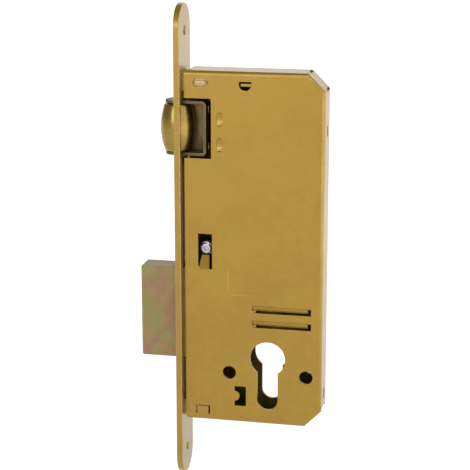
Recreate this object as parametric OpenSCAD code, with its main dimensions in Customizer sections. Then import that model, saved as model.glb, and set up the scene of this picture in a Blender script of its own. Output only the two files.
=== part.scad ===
// Mortise lock with a sprung roller latch above a deadbolt, for a euro-profile cylinder.
// Origin on the cylinder's axis at the middle of the case's thickness.
// +X runs from the faceplate into the door, Y across the door, +Z up. Millimetres.

/* [Faceplate] */
// Length of the faceplate
plate_l = 235; // [225:1:245]
// Width of the faceplate, and twice the radius of its round ends
plate_w = 22; // [20:0.5:24]
// Thickness of the faceplate
plate_t = 3; // [2.5:0.5:3.5]
// Height of the faceplate's top end above the cylinder's axis
plate_top = 171; // [166:1:176]
// Faceplate's front to the cylinder's axis
backset = 45; // [45:0.5:50]
// Fixing-screw hole to the end of the faceplate
plate_hole_in = 13; // [11:0.5:16]

/* [Case] */
// Outside thickness of the case
case_t = 14.5; // [14.5:0.5:16]
// Thickness of the case sheet
sheet = 1.25; // [1:0.25:1.25]
// Open gap between the faceplate's back and the case walls
case_gap = 1.1; // [0.8:0.1:1.5]
// Cylinder's axis to the outside of the back wall
case_back = 26.5; // [26:0.5:30]
// Cylinder's axis up to the outside of the top wall
case_top = 140.2; // [138:0.2:144]
// Cylinder's axis down to the outside of the bottom wall
case_bottom = 33.6; // [33:0.2:38]
// Size of the two 45 degree corners at the back
corner = 8.2; // [6:0.2:9]
// Outside radius of the bend round the near wall
bend_r = 1.9; // [1.5:0.1:2.5]

/* [Cylinder and furniture holes] */
// Radius of the round part of the cylinder hole
cyl_r = 8.65; // [8.6:0.05:8.8]
// Width of the cylinder hole's slot
cyl_slot_w = 10.2; // [10.1:0.1:10.6]
// Whole height of the cylinder hole
cyl_h = 33.1; // [33:0.1:34]
// Distance between the two furniture screw holes
handle_pitch = 38; // [36:1:40]
// Depth of those holes below the cylinder's axis
handle_drop = 8; // [6:0.5:9]
// Radius of those holes in the near wall, for sleeve nuts
handle_r = 3.3; // [3:0.1:3.6]
// Radius of those holes in the cover, for the screws
handle_screw_r = 2.25; // [2.1:0.05:2.3]

/* [Roller latch] */
// Height of the latch's middle above the cylinder's axis
latch_z = 112.1; // [111.5:0.1:112.8]
// Largest radius of the roller
roller_r = 8.25; // [8:0.05:8.5]
// Height of the roller
roller_h = 23.1; // [20:0.1:23.5]
// How far the roller stands out of the faceplate
roller_out = 8.8; // [8:0.1:9.5]
// Travel of the latch into the case
latch_travel = 8.3; // [6:0.1:8.5]
// Half width of the fork's strip
fork_hw = 5; // [4.8:0.1:5.1]
// Thickness of the fork's strip
fork_t = 1.4; // [1.2:0.1:1.6]

/* [Deadbolt] */
// Height of the deadbolt
bolt_h = 45.8; // [42:0.2:46]
// Thickness of the deadbolt
bolt_t = 11.6; // [11:0.1:11.6]
// Height of the deadbolt's underside above the cylinder's axis
bolt_z0 = -2.2; // [-3:0.1:-2]
// How far the thrown deadbolt stands out of the faceplate
bolt_out = 18.5; // [16:0.5:20]
// Travel of the deadbolt, in two turns of the key
bolt_travel = 18; // [14:0.5:18]

/* [Hidden] */
$fn = 48;

e = 0.01;                               // overlap of joined shapes
near_y = -case_t / 2;                   // outer face of the near wall
far_y = case_t / 2;                     // outer face of the cover
near_in = near_y + sheet;               // inner face of the near wall
far_in = far_y - sheet;                 // inner face of the cover
plate_x = -backset;                     // front of the faceplate
plate_back = plate_x + plate_t;         // back of the faceplate
plate_z0 = plate_top - plate_l;         // bottom end of the faceplate
case_x0 = plate_back + case_gap;        // front edge of the case walls
case_z0 = -case_bottom;
slot_hw = cyl_slot_w / 2;
near_slot_more = 1.5;                   // how much longer the cylinder's slot is in the near wall
fix_screw_z = -19.5;                    // height of the cylinder's fixing screw

// Latch, from the roller back into the case
axle_x = plate_x - roller_out + roller_r;
axle_r = 2;
roller_end_r = roller_r - 2.1;
ear_end = axle_x - 5.9;                 // front end of the fork's ears
fork_hh = roller_h / 2 + 0.25 + fork_t; // half height of the fork
fork_back = -30.7;                      // back of the fork's web
fork_bend = 0.7;                        // inside radius of its two bends
window_x1 = -27.8;                      // back edge of the near wall's latch window
window_z = [98.2, 127];                // bottom and top of the near wall's window
cover_window = [-31.1, 12.1];           // back edge and half height of the cover's window
cover_lug = 20;                         // half height of the cover's edge that meets the faceplate
rod_r = 1.6;
rod_dz = 9.2;                           // guide rods above and below the latch's middle
rod_head_r = 1.85;
seat_x = -5.8;                          // front of the spring bracket's web
seat_t = 2;
bracket_t = 1.5;
fork_plate_y = 3.9;                     // near face of the fork's plate on the cover's side
bracket_x0 = fork_back + latch_travel + 1; // front ends of the spring bracket's flanges
bracket_hh = 14;
clip_t = 0.8;
latch_spring_r = 2.75;                  // mean radius of the latch springs
latch_wire = 0.9;

// Deadbolt and its tail plate
bolt_x0 = plate_x - bolt_out;
bolt_x1 = -39.5;                        // back of the head at rest
bolt_z1 = bolt_z0 + bolt_h;
tail_hy = 1.5;                          // half thickness of the tail plate
tail_x1 = 6.2;
tail_z0 = 10.4;
tail_z1 = 37.5;
guide_z = 32;                           // height of the tail's guide slot
guide_r = 2.5;
guide_front_x = -14.5;
guide_rear_x = guide_front_x + 17;
turn = bolt_travel / 2;                 // travel for one turn of the key
rivet_x = bolt_x1 - 3;

// Tumbler, on the cover's side of the tail plate
tumbler_y0 = 2.2;
tumbler_y1 = 4.2;
pivot_x = 20.4;
pivot_z = 22;
pivot_r = 2.5;
stud_x = guide_front_x;
stud_r = 1.9;
gate_clear = 0.35;                      // play of the stud in the tumbler's gate
drop_angle = 6.5;                       // from lifted clear to dropped into a pocket
lift_room = 1;                          // extra room under the stud, for lifting past clear
spring_post_x = 8;
spring_post_z = 41;

// Things set into the walls
relief_r = 0.85;                        // notches between the folded walls
side_x = -31.4;                         // side screw, seen through the middle slot
side_z = 53.2;
side_y = -0.6;                          // near end of the middle post
middle_slot = [-34.4, 43.9, -27.5, 61.4]; // left, bottom, right and top of each opening
side_opening = [-16.4, -25, -10.7, -14.9];
flap_cut = [-35.9, -30.6, -28.8, -25.7];
flap_kerf = 0.85;                       // width of the cut round the lower flap
bracket_slot = [-36.6, 132.5, -29.1, 136.6];
blank_panel = [-19.6, 31.8, -4.6, 45];
louvres = [[-7.6, 23.2, 21.2, 26.6], [-7.6, 15.8, 21.2, 19.2]];
dimple = [-11.35, 134.3];               // D-shaped hole above the latch, with a tab in it
dimple_tab = [-2.1, -1, 4, 0.35];       // left, bottom, right and top of that tab
post_spots = [[17, 130.8], [17, -25]];
post_r = 3.8;
tab_x = [-35.3, -30.5];                 // riveted tab of the upper bracket
tab_z = [133.6, 135.5];
lower_tab_z = -28.2;
plate_screw_z = [134.5, lower_tab_z];
pip_x = -23.6;                          // two oval dimples beside the latch window
pip_dz = 6.1;
pip_size = [3.2, 6.8, 0.7];             // their width, height and depth
back_slot_z = [112, -18.5];             // two small slots in the back wall

// ---------- general shapes ----------

// Drawing in X and Z, as thick as y0 to y1
module slab(y0, y1) {
    translate([0, y1, 0]) rotate([90, 0, 0]) linear_extrude(y1 - y0) children();
}

// Round bar or hole along Y
module bar_y(x, z, r, y0, y1) {
    translate([x, y1, z]) rotate([90, 0, 0]) cylinder(r = r, h = y1 - y0);
}

// Round bar or hole along X
module bar_x(y, z, r, x0, x1) {
    translate([x0, y, z]) rotate([0, 90, 0]) cylinder(r = r, h = x1 - x0);
}

// Cone along X, from radius r0 at x0 to r1 at x1
module cone_x(z, r0, r1, x0, x1) {
    translate([x0, 0, z]) rotate([0, 90, 0]) cylinder(r1 = r0, r2 = r1, h = x1 - x0);
}

// Box from its lowest to its highest corner
module block(a, b) {
    translate(a) cube(b - a);
}

// Rectangle from its left, bottom, right and top
module span(b) {
    translate([b[0], b[1]]) square([b[2] - b[0], b[3] - b[1]]);
}

// Rectangle with round corners
module round_rect(x0, z0, x1, z1, r) {
    translate([x0 + r, z0]) square([x1 - x0 - 2 * r, z1 - z0]);
    translate([x0, z0 + r]) square([x1 - x0, z1 - z0 - 2 * r]);
    for (x = [x0 + r, x1 - r], z = [z0 + r, z1 - r]) translate([x, z]) circle(r);
}

// Wire along a helix about X, closed at both ends
module coil_x(r, wire, length, turns, facets = 20) {
    rings = round(turns * facets);
    sides = 8;
    lead = atan(length / turns / (2 * PI * r));
    pts = [for (i = [0:rings], k = [0:sides - 1])
        let (a = 360 * i / facets, b = 360 * k / sides,
             out = r + wire / 2 * cos(b), side = wire / 2 * sin(b))
        [length * i / rings + side * cos(lead),
         out * cos(a) + side * sin(lead) * sin(a),
         out * sin(a) - side * sin(lead) * cos(a)]];
    faces = concat(
        [for (i = [0:rings - 1], k = [0:sides - 1])
            let (n = (k + 1) % sides)
            [i * sides + k, i * sides + n, (i + 1) * sides + n, (i + 1) * sides + k]],
        [[for (k = [sides - 1:-1:0]) k]],
        [[for (k = [0:sides - 1]) rings * sides + k]]);
    polyhedron(pts, faces, convexity = 8);
}

// Cross recess cut into a screw head that faces -Y
module cross_recess_y(x, z, y, size, depth) {
    for (a = [0, 90]) translate([x, y, z]) rotate([0, a + 20, 0])
        block([-size / 2, -e, -0.35], [size / 2, depth, 0.35]);
}

// ---------- case ----------

module case_outline() {
    r = 2.5;
    polygon([[case_x0 + r, case_z0], [case_back - corner, case_z0], [case_back, case_z0 + corner],
        [case_back, case_top - corner], [case_back - corner, case_top], [case_x0 + r, case_top]]);
    translate([case_x0, case_z0 + r]) square([r + e, case_top - case_z0 - 2 * r]);
    for (z = [case_z0 + r, case_top - r]) translate([case_x0 + r, z]) circle(r);
}

// Hollow inside the folded walls, open to the front
module case_inside() {
    s = sheet;
    k = sheet * (sqrt(2) - 1);
    polygon([[case_x0 - 5, case_z0 + s], [case_back - corner - k, case_z0 + s],
        [case_back - s, case_z0 + corner + k], [case_back - s, case_top - corner - k],
        [case_back - corner - k, case_top - s], [case_x0 - 5, case_top - s]]);
}

// Euro-profile hole of height h, furniture holes and bracket slot of one wall
module wall_holes(h, screw_r) {
    slot_z = cyl_r - h + slot_hw;
    circle(cyl_r);
    translate([-slot_hw, slot_z]) square([cyl_slot_w, -slot_z]);
    translate([0, slot_z]) circle(slot_hw);
    for (x = [-1, 1]) translate([x * handle_pitch / 2, -handle_drop]) circle(screw_r);
    round_rect(bracket_slot[0], bracket_slot[1], bracket_slot[2], bracket_slot[3], 2.04);
}

// Takes the square corner off the outside of a bend along local X; outward is local Z
module bend_cut() {
    l = 400;
    difference() {
        block([-l / 2, -1, -bend_r], [l / 2, bend_r, 1]);
        translate([-l, bend_r, -bend_r]) rotate([0, 90, 0]) cylinder(r = bend_r, h = 2 * l);
    }
}

// One louvre pressed inwards from the near wall: it slopes in towards its lower, open edge,
// with a small ramp at the front end and an open rear end
module louvre_sheet(x0, x1, z0, z1) {
    depth = 1.15;
    lip = 0.9;
    ramp = 1.7;
    translate([x0, 0, 0]) rotate([90, 0, 90]) linear_extrude(x1 - x0 - ramp)
        polygon([[near_y, z1], [near_in, z1], [near_in + depth, z0 + lip], [near_y + depth, z0 + lip]]);
    translate([0, 0, z0 - e]) linear_extrude(lip + 2 * e)
        polygon([[x0, near_y], [x0 + ramp, near_in], [x0 + ramp, near_in + 0.4], [x0, near_in]]);
}

// Shallow oval pressed into the near wall, with a floor that curves from top to bottom
module oval_dimple(x, z) {
    hw = pip_size[0] / 2;
    hh = pip_size[1] / 2;
    depth = pip_size[2];
    r = (hh * hh + depth * depth) / (2 * depth);
    intersection() {
        slab(near_y - 1, near_y + depth) round_rect(x - hw, z - hh, x + hw, z + hh, hw - e);
        translate([x - hw, near_y + depth - r, z]) rotate([0, 90, 0])
            cylinder(r = r, h = 2 * hw, $fn = 180);
    }
}

module near_cuts() {
    slab(near_y - 1, near_in + e) {
        wall_holes(cyl_h + near_slot_more, handle_r);
        span([case_x0 - 3, window_z[0], window_x1, window_z[1]]);
        for (l = louvres) span(l);
        // middle slot, with its lower front corner round
        difference() {
            span(middle_slot);
            translate([middle_slot[0], middle_slot[1]]) difference() {
                translate([-0.1, -0.1]) square(2.1);
                translate([2, 2]) circle(2);
            }
        }
        // opening beside the cylinder's fixing screw
        difference() {
            span(side_opening);
            translate([side_opening[0], (side_opening[1] + side_opening[3]) / 2]) circle(2.5);
        }
        // cut round three sides of the lower flap
        difference() {
            round_rect(flap_cut[0], flap_cut[1], flap_cut[2], flap_cut[3], 0.9);
            span([flap_cut[0] + flap_kerf, flap_cut[1] - e, flap_cut[2] - flap_kerf,
                flap_cut[3] - flap_kerf]);
        }
        // D-shaped hole, with a tab left in it
        difference() {
            intersection() {
                translate(dimple) circle(3);
                translate(dimple - [4, 4]) square([8, 5.2]);
            }
            translate(dimple) span(dimple_tab);
        }
    }
    // two oval dimples and the blank panel
    for (s = [-1, 1]) oval_dimple(pip_x, latch_z - 0.9 + s * pip_dz);
    slab(near_y - 1, near_y + 0.25)
        round_rect(blank_panel[0], blank_panel[1], blank_panel[2], blank_panel[3], 1.5);
}

module case_tray() {
    color("goldenrod") {
        difference() {
            slab(near_y, far_in) case_outline();
            slab(near_in, far_y) case_inside();
            near_cuts();
            // outside radius of the five bends
            translate([0, near_y, case_top]) bend_cut();
            translate([case_back, near_y, 0]) rotate([0, 90, 0]) bend_cut();
            translate([0, near_y, case_z0]) rotate([0, 180, 0]) bend_cut();
            translate([case_back - corner / 2, near_y, case_top - corner / 2])
                rotate([0, 45, 0]) bend_cut();
            translate([case_back - corner / 2, near_y, case_z0 + corner / 2])
                rotate([0, 135, 0]) bend_cut();
            // relief between the folded walls
            for (z = [case_z0, case_top]) bar_y(case_back - corner, z, relief_r, near_y + 2.1, far_y);
            for (z = [case_z0 + corner, case_top - corner])
                bar_y(case_back, z, relief_r, near_y + 2.1, far_y);
            for (z = back_slot_z) block([case_back - 3, 0.5, z - 2.5], [case_back + 1, 3.3, z + 2.5]);
        }
        for (l = louvres) louvre_sheet(l[0] - e, l[2] + e, l[1], l[3] + e);
        bent_tongue();
    }
}

// Tongue bent in from the middle slot's lower edge over the deadbolt, narrower towards its tip
module bent_tongue() {
    x0 = middle_slot[0] + 0.2;
    x1 = middle_slot[2] - 1.3;
    z0 = middle_slot[1];
    tip = 6.2;
    taper = 0.8;
    intersection() {
        translate([x0, 0, z0]) rotate([90, 0, 90]) linear_extrude(x1 - x0)
            polygon([[near_y, -e], [near_in, -e], [near_in + 3.6, tip - 0.9], [near_y + 3.9, tip]]);
        slab(near_y - 1, 0) polygon([[x0, z0 - 1], [x1, z0 - 1], [x1, z0], [x1 - taper, z0 + tip],
            [x0 + taper, z0 + tip], [x0, z0]]);
    }
}

module cover_plate() {
    color("goldenrod") difference() {
        slab(far_in, far_y) difference() {
            union() {
                case_outline();
                span([plate_back + 0.3, latch_z - cover_lug, case_x0 + e, latch_z + cover_lug]);
            }
            wall_holes(cyl_h, handle_screw_r);
            span([case_x0 - 3, latch_z - cover_window[1], cover_window[0], latch_z + cover_window[1]]);
            for (p = post_spots) translate(p) circle(2.1);
            translate([side_x, side_z]) circle(2.2);
            for (s = [-1, 1]) translate([-12, latch_z + s * 8]) circle(1.5);
            translate([pivot_x, pivot_z]) circle(1.75);
            translate([spring_post_x, spring_post_z]) circle(1.4);
        }
        // countersinks of the cover screws
        for (p = post_spots) translate([p[0], far_y + e, p[1]]) rotate([90, 0, 0])
            cylinder(r1 = 3.2, r2 = 2.1, h = 1.1);
    }
}

// ---------- faceplate ----------

module faceplate() {
    r = plate_w / 2;
    hole_z = [plate_z0 + plate_hole_in, plate_top - plate_hole_in];
    color("darkkhaki") difference() {
        translate([plate_x, 0, 0]) rotate([90, 0, 90]) linear_extrude(plate_t) difference() {
            union() {
                translate([-r, plate_z0 + r]) square([plate_w, plate_l - plate_w]);
                for (z = [plate_z0 + r, plate_top - r]) translate([0, z]) circle(r);
            }
            // openings for the roller and the deadbolt
            translate([-roller_r - 0.5, latch_z - fork_hh - 0.3])
                square([2 * roller_r + 1, 2 * fork_hh + 0.6]);
            translate([-bolt_t / 2 - 0.3, bolt_z0 - 0.3]) square([bolt_t + 0.6, bolt_h + 0.6]);
            for (z = hole_z) translate([0, z]) circle(2.3);
            translate([0, fix_screw_z]) circle(2.75);
            for (z = plate_screw_z) translate([0, z]) circle(1.75);
        }
        for (z = hole_z) cone_x(z, 4.6, 2.3, plate_x - e, plate_x + 2.3);
        cone_x(fix_screw_z, 4.85, 2.75, plate_x - e, plate_x + 2.1);
        for (z = plate_screw_z) cone_x(z, 3.3, 1.75, plate_x - e, plate_x + 1.55);
    }
}

// Block behind the faceplate, as thick as the case's inside, with tabs through both walls
module plate_block(z0, z1, tabs) {
    difference() {
        union() {
            block([plate_back, -5.9, z0], [-29.6, 5.9, z1]);
            if (tabs) block([tab_x[0], near_y + 0.05, tab_z[0]], [tab_x[1], far_y - 0.05, tab_z[1]]);
        }
        bar_x(0, (z0 + z1) / 2, 1.55, plate_back - 1, -31);
    }
}

module upper_bracket() {
    color("khaki") plate_block(130.2, 138.8, true);
}

module lower_bracket() {
    color("khaki") plate_block(lower_tab_z - 3.8, lower_tab_z + 3.8, false);
}

module faceplate_screws() {
    color("silver") for (z = plate_screw_z) difference() {
        union() {
            cone_x(z, 3.2, 1.5, plate_x + 0.05, plate_x + 1.75);
            bar_x(0, z, 1.5, plate_x + 1.6, -32);
        }
        for (a = [20, 110]) translate([plate_x, 0, z]) rotate([a, 0, 0])
            block([-1, -1.7, -0.3], [1.1, 1.7, 0.3]);
    }
}

// ---------- things that hold the case together ----------

module spacer_posts() {
    color("silver") for (p = post_spots) difference() {
        bar_y(p[0], p[1], post_r, near_in, far_in);
        bar_y(p[0], p[1], 1.65, -2, far_y);
    }
}

module cover_screws() {
    color("silver") for (p = post_spots) difference() {
        union() {
            bar_y(p[0], p[1], 1.6, -1.5, far_y - 1);
            translate([p[0], far_y, p[1]]) rotate([90, 0, 0]) cylinder(r1 = 3.1, r2 = 2, h = 1.1);
        }
        for (a = [15, 105]) translate([p[0], far_y, p[1]]) rotate([0, a, 0])
            block([-1.6, -1.2, -0.3], [1.6, 1, 0.3]);
    }
}

module middle_post() {
    color("silver") difference() {
        union() {
            bar_y(side_x, side_z, 3.6, side_y, far_in);
            bar_y(side_x, side_z, 2.15, far_in - e, far_y + 0.4);
        }
        bar_y(side_x, side_z, 1.55, side_y - 1, 4);
    }
}

module side_washer() {
    color("gray") difference() {
        bar_y(side_x, side_z, 3.5, side_y - 0.8, side_y);
        bar_y(side_x, side_z, 1.7, side_y - 2, side_y + 1);
    }
}

module side_screw() {
    color("white") difference() {
        union() {
            bar_y(side_x, side_z, 1.5, side_y - 1, 3.5);
            bar_y(side_x, side_z, 3, side_y - 2.2, side_y - 0.8);
            translate([side_x, side_y - 2.2 + e, side_z]) rotate([90, 0, 0])
                cylinder(r1 = 3, r2 = 2.2, h = 0.7);
        }
        cross_recess_y(side_x, side_z, side_y - 2.9, 2.9, 1.3);
    }
}

// ---------- roller latch ----------

// Outline of the roller from its axis outwards, grown by more
module barrel_outline(more) {
    hh = roller_h / 2;
    sag = roller_r - roller_end_r;
    barrel_r = (hh * hh + sag * sag) / (2 * sag);
    intersection() {
        translate([roller_r - barrel_r, 0]) circle(barrel_r + more, $fn = 360);
        polygon([[0, -hh - more], [roller_end_r - 0.6 + more, -hh - more], [roller_end_r + 0.6 + more, -hh + 1],
            [roller_r + 1, -hh + 3], [roller_r + 1, hh - 3], [roller_end_r + 0.6 + more, hh - 1],
            [roller_end_r - 0.6 + more, hh + more], [0, hh + more]]);
    }
}

// Strip bent to a U, with a plate on the cover's side that reaches forward to the roller
module latch_fork() {
    outer_r = fork_bend + fork_t;
    web_x = fork_back - fork_t;
    plate_hh = fork_hh - fork_t + e;
    color("tan") difference() {
        union() {
            slab(-fork_hw, fork_hw) difference() {
                union() {
                    translate([ear_end, latch_z - fork_hh])
                        square([fork_back - ear_end - outer_r, 2 * fork_hh]);
                    translate([ear_end + 5, latch_z - fork_hh + outer_r])
                        square([fork_back - ear_end - 5, 2 * (fork_hh - outer_r)]);
                    for (s = [-1, 1])
                        translate([fork_back - outer_r, latch_z + s * (fork_hh - outer_r)])
                            circle(outer_r);
                }
                round_rect(ear_end - 9, latch_z - fork_hh + fork_t, web_x,
                    latch_z + fork_hh - fork_t, fork_bend);
            }
            difference() {
                block([axle_x + 3, fork_plate_y, latch_z - plate_hh],
                    [fork_back + 0.5, fork_plate_y + fork_t, latch_z + plate_hh]);
                translate([axle_x, 0, latch_z]) rotate_extrude($fn = 96) barrel_outline(0.3);
            }
        }
        // round front ends of the ears
        translate([ear_end + fork_hw, 0, latch_z - fork_hh - 1]) difference() {
            translate([-20, -10, 0]) cube([20, 20, 2 * fork_hh + 2]);
            cylinder(r = fork_hw, h = 2 * fork_hh + 2);
        }
        translate([axle_x, 0, latch_z - fork_hh - 1]) cylinder(r = axle_r + 0.02, h = 2 * fork_hh + 2);
        for (s = [-1, 1]) bar_x(0, latch_z + s * rod_dz, rod_r + 0.02, fork_back - 5, fork_back + 1);
    }
}

module roller_axle() {
    color("silver") translate([axle_x, 0, latch_z - fork_hh + 0.1])
        cylinder(r = axle_r, h = 2 * fork_hh - 0.2);
}

module roller() {
    color("peru") translate([axle_x, 0, latch_z]) difference() {
        rotate_extrude($fn = 96) barrel_outline(0);
        translate([0, 0, -roller_h]) cylinder(r = axle_r + 0.08, h = 2 * roller_h);
    }
}

module guide_rods() {
    color("silver") for (s = [-1, 1]) difference() {
        union() {
            bar_x(0, latch_z + s * rod_dz, rod_r, fork_back - fork_t - 0.5, seat_x + seat_t + 3);
            bar_x(0, latch_z + s * rod_dz, rod_head_r, fork_back - fork_t - 1.1, fork_back - fork_t);
        }
        // groove for the retaining clip
        difference() {
            bar_x(0, latch_z + s * rod_dz, 3, seat_x + seat_t + 0.3, seat_x + seat_t + 0.4 + clip_t);
            bar_x(0, latch_z + s * rod_dz, 1.2, seat_x, seat_x + seat_t + 5);
        }
    }
}

module rod_clips() {
    x0 = seat_x + seat_t + 0.35;
    color("gray") for (s = [-1, 1]) difference() {
        bar_x(0, latch_z + s * rod_dz, 2.9, x0, x0 + clip_t);
        bar_x(0, latch_z + s * rod_dz, 1.25, x0 - 1, x0 + 2);
        block([x0 - 1, 0, latch_z + s * rod_dz - 1], [x0 + 2, 4, latch_z + s * rod_dz + 1]);
    }
}

module latch_spring(z) {
    x0 = fork_back + 0.05;
    wire = latch_wire;
    color("silver") translate([x0 + wire / 2, 0, z])
        coil_x(latch_spring_r, wire, seat_x - x0 - 0.05 - wire, 9);
}

module upper_latch_spring() {
    latch_spring(latch_z + rod_dz);
}

module lower_latch_spring() {
    latch_spring(latch_z - rod_dz);
}

// U bracket behind the latch: its web seats the springs, its flanges lie on both walls
module spring_bracket() {
    color("tan") difference() {
        block([bracket_x0, -5.95, latch_z - bracket_hh], [seat_x + seat_t, 5.95, latch_z + bracket_hh]);
        block([bracket_x0 - 1, -5.95 + bracket_t, latch_z - bracket_hh - 1],
            [seat_x, 5.95 - bracket_t, latch_z + bracket_hh + 1]);
        for (s = [-1, 1]) {
            bar_x(0, latch_z + s * rod_dz, rod_r + 0.1, seat_x - 1, seat_x + seat_t + 1);
            bar_y(-12, latch_z + s * 8, 1.5, 3, 7);
        }
    }
}

module bracket_rivets() {
    color("silver") for (s = [-1, 1]) {
        bar_y(-12, latch_z + s * 8, 1.45, 4.2, far_y + 0.2);
        bar_y(-12, latch_z + s * 8, 2.5, far_y, far_y + 0.6);
        bar_y(-12, latch_z + s * 8, 2.2, 3.9, 5.95 - bracket_t);
    }
}

// ---------- deadbolt ----------

module deadbolt_head() {
    c = 0.6;
    hy = bolt_t / 2;
    color("darkkhaki") difference() {
        intersection() {
            translate([0, 0, bolt_z0]) linear_extrude(bolt_h)
                polygon([[bolt_x0 + c, -hy], [bolt_x1, -hy], [bolt_x1, hy], [bolt_x0 + c, hy],
                    [bolt_x0, hy - c], [bolt_x0, c - hy]]);
            slab(-10, 10) polygon([[bolt_x0, bolt_z0 + c], [bolt_x0 + c, bolt_z0],
                [bolt_x1 + 1, bolt_z0], [bolt_x1 + 1, bolt_z1], [bolt_x0 + c, bolt_z1],
                [bolt_x0, bolt_z1 - c]]);
        }
        // slot for the tail plate, and its two rivets
        block([bolt_x1 - 6, -tail_hy - 0.05, tail_z0 - 0.1], [bolt_x1 + 1, tail_hy + 0.05, tail_z1 + 0.1]);
        for (z = [16, 32]) bar_y(rivet_x, z, 1.5, -10, 10);
    }
}

// Tail plate: a guide slot above, and two bays below that the cylinder's cam drives
module deadbolt_tail() {
    bay_z = 16.2;
    color("silver") slab(-tail_hy, tail_hy) difference() {
        polygon([[bolt_x1 - 5.9, tail_z0], [tail_x1, tail_z0], [tail_x1, 34],
            [tail_x1 - 3.5, tail_z1], [bolt_x1 - 5.9, tail_z1]]);
        round_rect(guide_front_x - bolt_travel - guide_r - 0.1, guide_z - guide_r - 0.1,
            guide_rear_x + guide_r + 0.1, guide_z + guide_r + 0.1, guide_r + 0.09);
        for (i = [0, 1]) translate([-13.6 + i * turn, tail_z0 - 1]) square([6.4, bay_z - tail_z0 + 1]);
        for (z = [16, 32]) translate([rivet_x, z]) circle(1.5);
        translate([stud_x, pivot_z]) circle(1.42);
    }
}

module deadbolt_rivets() {
    color("gray") for (z = [16, 32])
        bar_y(rivet_x, z, 1.48, -bolt_t / 2 + 0.05, bolt_t / 2 - 0.05);
}

module tail_stud() {
    color("gray") {
        bar_y(stud_x, pivot_z, 1.4, -tail_hy, tail_hy + e);
        bar_y(stud_x, pivot_z, stud_r, tail_hy, tumbler_y1 + 0.6);
    }
}

module guide_studs() {
    color("silver") for (x = [guide_front_x, guide_rear_x]) {
        bar_y(x, guide_z, 3.6, near_in, -tail_hy - 0.25);
        bar_y(x, guide_z, guide_r, -tail_hy - 0.3, tail_hy + 0.4);
    }
}

// ---------- tumbler ----------

// The stud's three places in the gate, one for each half of the travel
function stop_x(i) = stud_x + i * turn;

module tumbler_outline() {
    polygon([[-20, 16.3], [-7, 15.8], [0, 15.7], [8, 15.9], [pivot_x, pivot_z - 4.2], [pivot_x, pivot_z + 4.2],
        [10, 29.5], [-2, 31], [-18.6, 31.4], [-20, 30]]);
    translate([pivot_x, pivot_z]) circle(4.2);
}

module tumbler_gate() {
    r = stud_r + gate_clear;
    round_rect(stop_x(0) - r, pivot_z - r - lift_room, stop_x(2) + r, pivot_z + r, r - 0.01);
    for (i = [0:2]) {
        rise = (pivot_x - stop_x(i)) * sin(drop_angle);
        translate([stop_x(i) - r + 0.1, pivot_z]) square([2 * r, rise]);
        translate([stop_x(i) + 0.1, pivot_z + rise]) circle(r);
    }
}

module tumbler() {
    color("olive") slab(tumbler_y0, tumbler_y1) difference() {
        tumbler_outline();
        tumbler_gate();
        translate([pivot_x, pivot_z]) circle(pivot_r + 0.05);
    }
}

module tumbler_pivot() {
    color("silver") {
        bar_y(pivot_x, pivot_z, 3.6, tumbler_y1 + 0.2, far_in);
        bar_y(pivot_x, pivot_z, pivot_r, tumbler_y0 - 0.3, tumbler_y1 + 0.3);
        bar_y(pivot_x, pivot_z, 1.7, far_in - e, far_y + 0.3);
    }
}

module spring_post() {
    color("silver") {
        bar_y(spring_post_x, spring_post_z, 1.9, 2.6, far_in);
        bar_y(spring_post_x, spring_post_z, 1.35, far_in - e, far_y + 0.3);
    }
}

// Leg spring: one leg lies on the tumbler's top edge, the other reaches the back wall
module tumbler_spring() {
    wire = 0.7;
    r = 2.5;
    leg_y = (tumbler_y0 + tumbler_y1) / 2;
    coil_w = 2.4;
    color("silver") {
        translate([spring_post_x, leg_y, spring_post_z]) rotate([0, 0, 90]) coil_x(r, wire, coil_w, 3.5, 24);
        translate([spring_post_x, leg_y, spring_post_z - r]) rotate([0, -126, 0])
            cylinder(d = wire, h = 12);
        translate([spring_post_x, leg_y + coil_w, spring_post_z + r]) rotate([0, 90, 0])
            cylinder(d = wire, h = 16.5);
    }
}

case_tray();
cover_plate();
faceplate();
upper_bracket();
lower_bracket();
faceplate_screws();
spacer_posts();
cover_screws();
middle_post();
side_washer();
side_screw();
spring_bracket();
bracket_rivets();
latch_fork();
roller_axle();
roller();
guide_rods();
rod_clips();
upper_latch_spring();
lower_latch_spring();
deadbolt_head();
deadbolt_tail();
deadbolt_rivets();
tail_stud();
guide_studs();
tumbler();
tumbler_pivot();
spring_post();
tumbler_spring();
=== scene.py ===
"""Looks for a mortise lock: gold-lacquered case and faceplate, brass roller latch, passivated deadbolt.

Metres, in the part's own frame: the origin is on the cylinder's axis, +X runs from the faceplate into the
door, +Y across the door and +Z up. The near wall of the case faces -Y.
"""

import logging
import math
from dataclasses import dataclass, field
from enum import Enum
from typing import Iterable, Optional, Sequence

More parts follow.
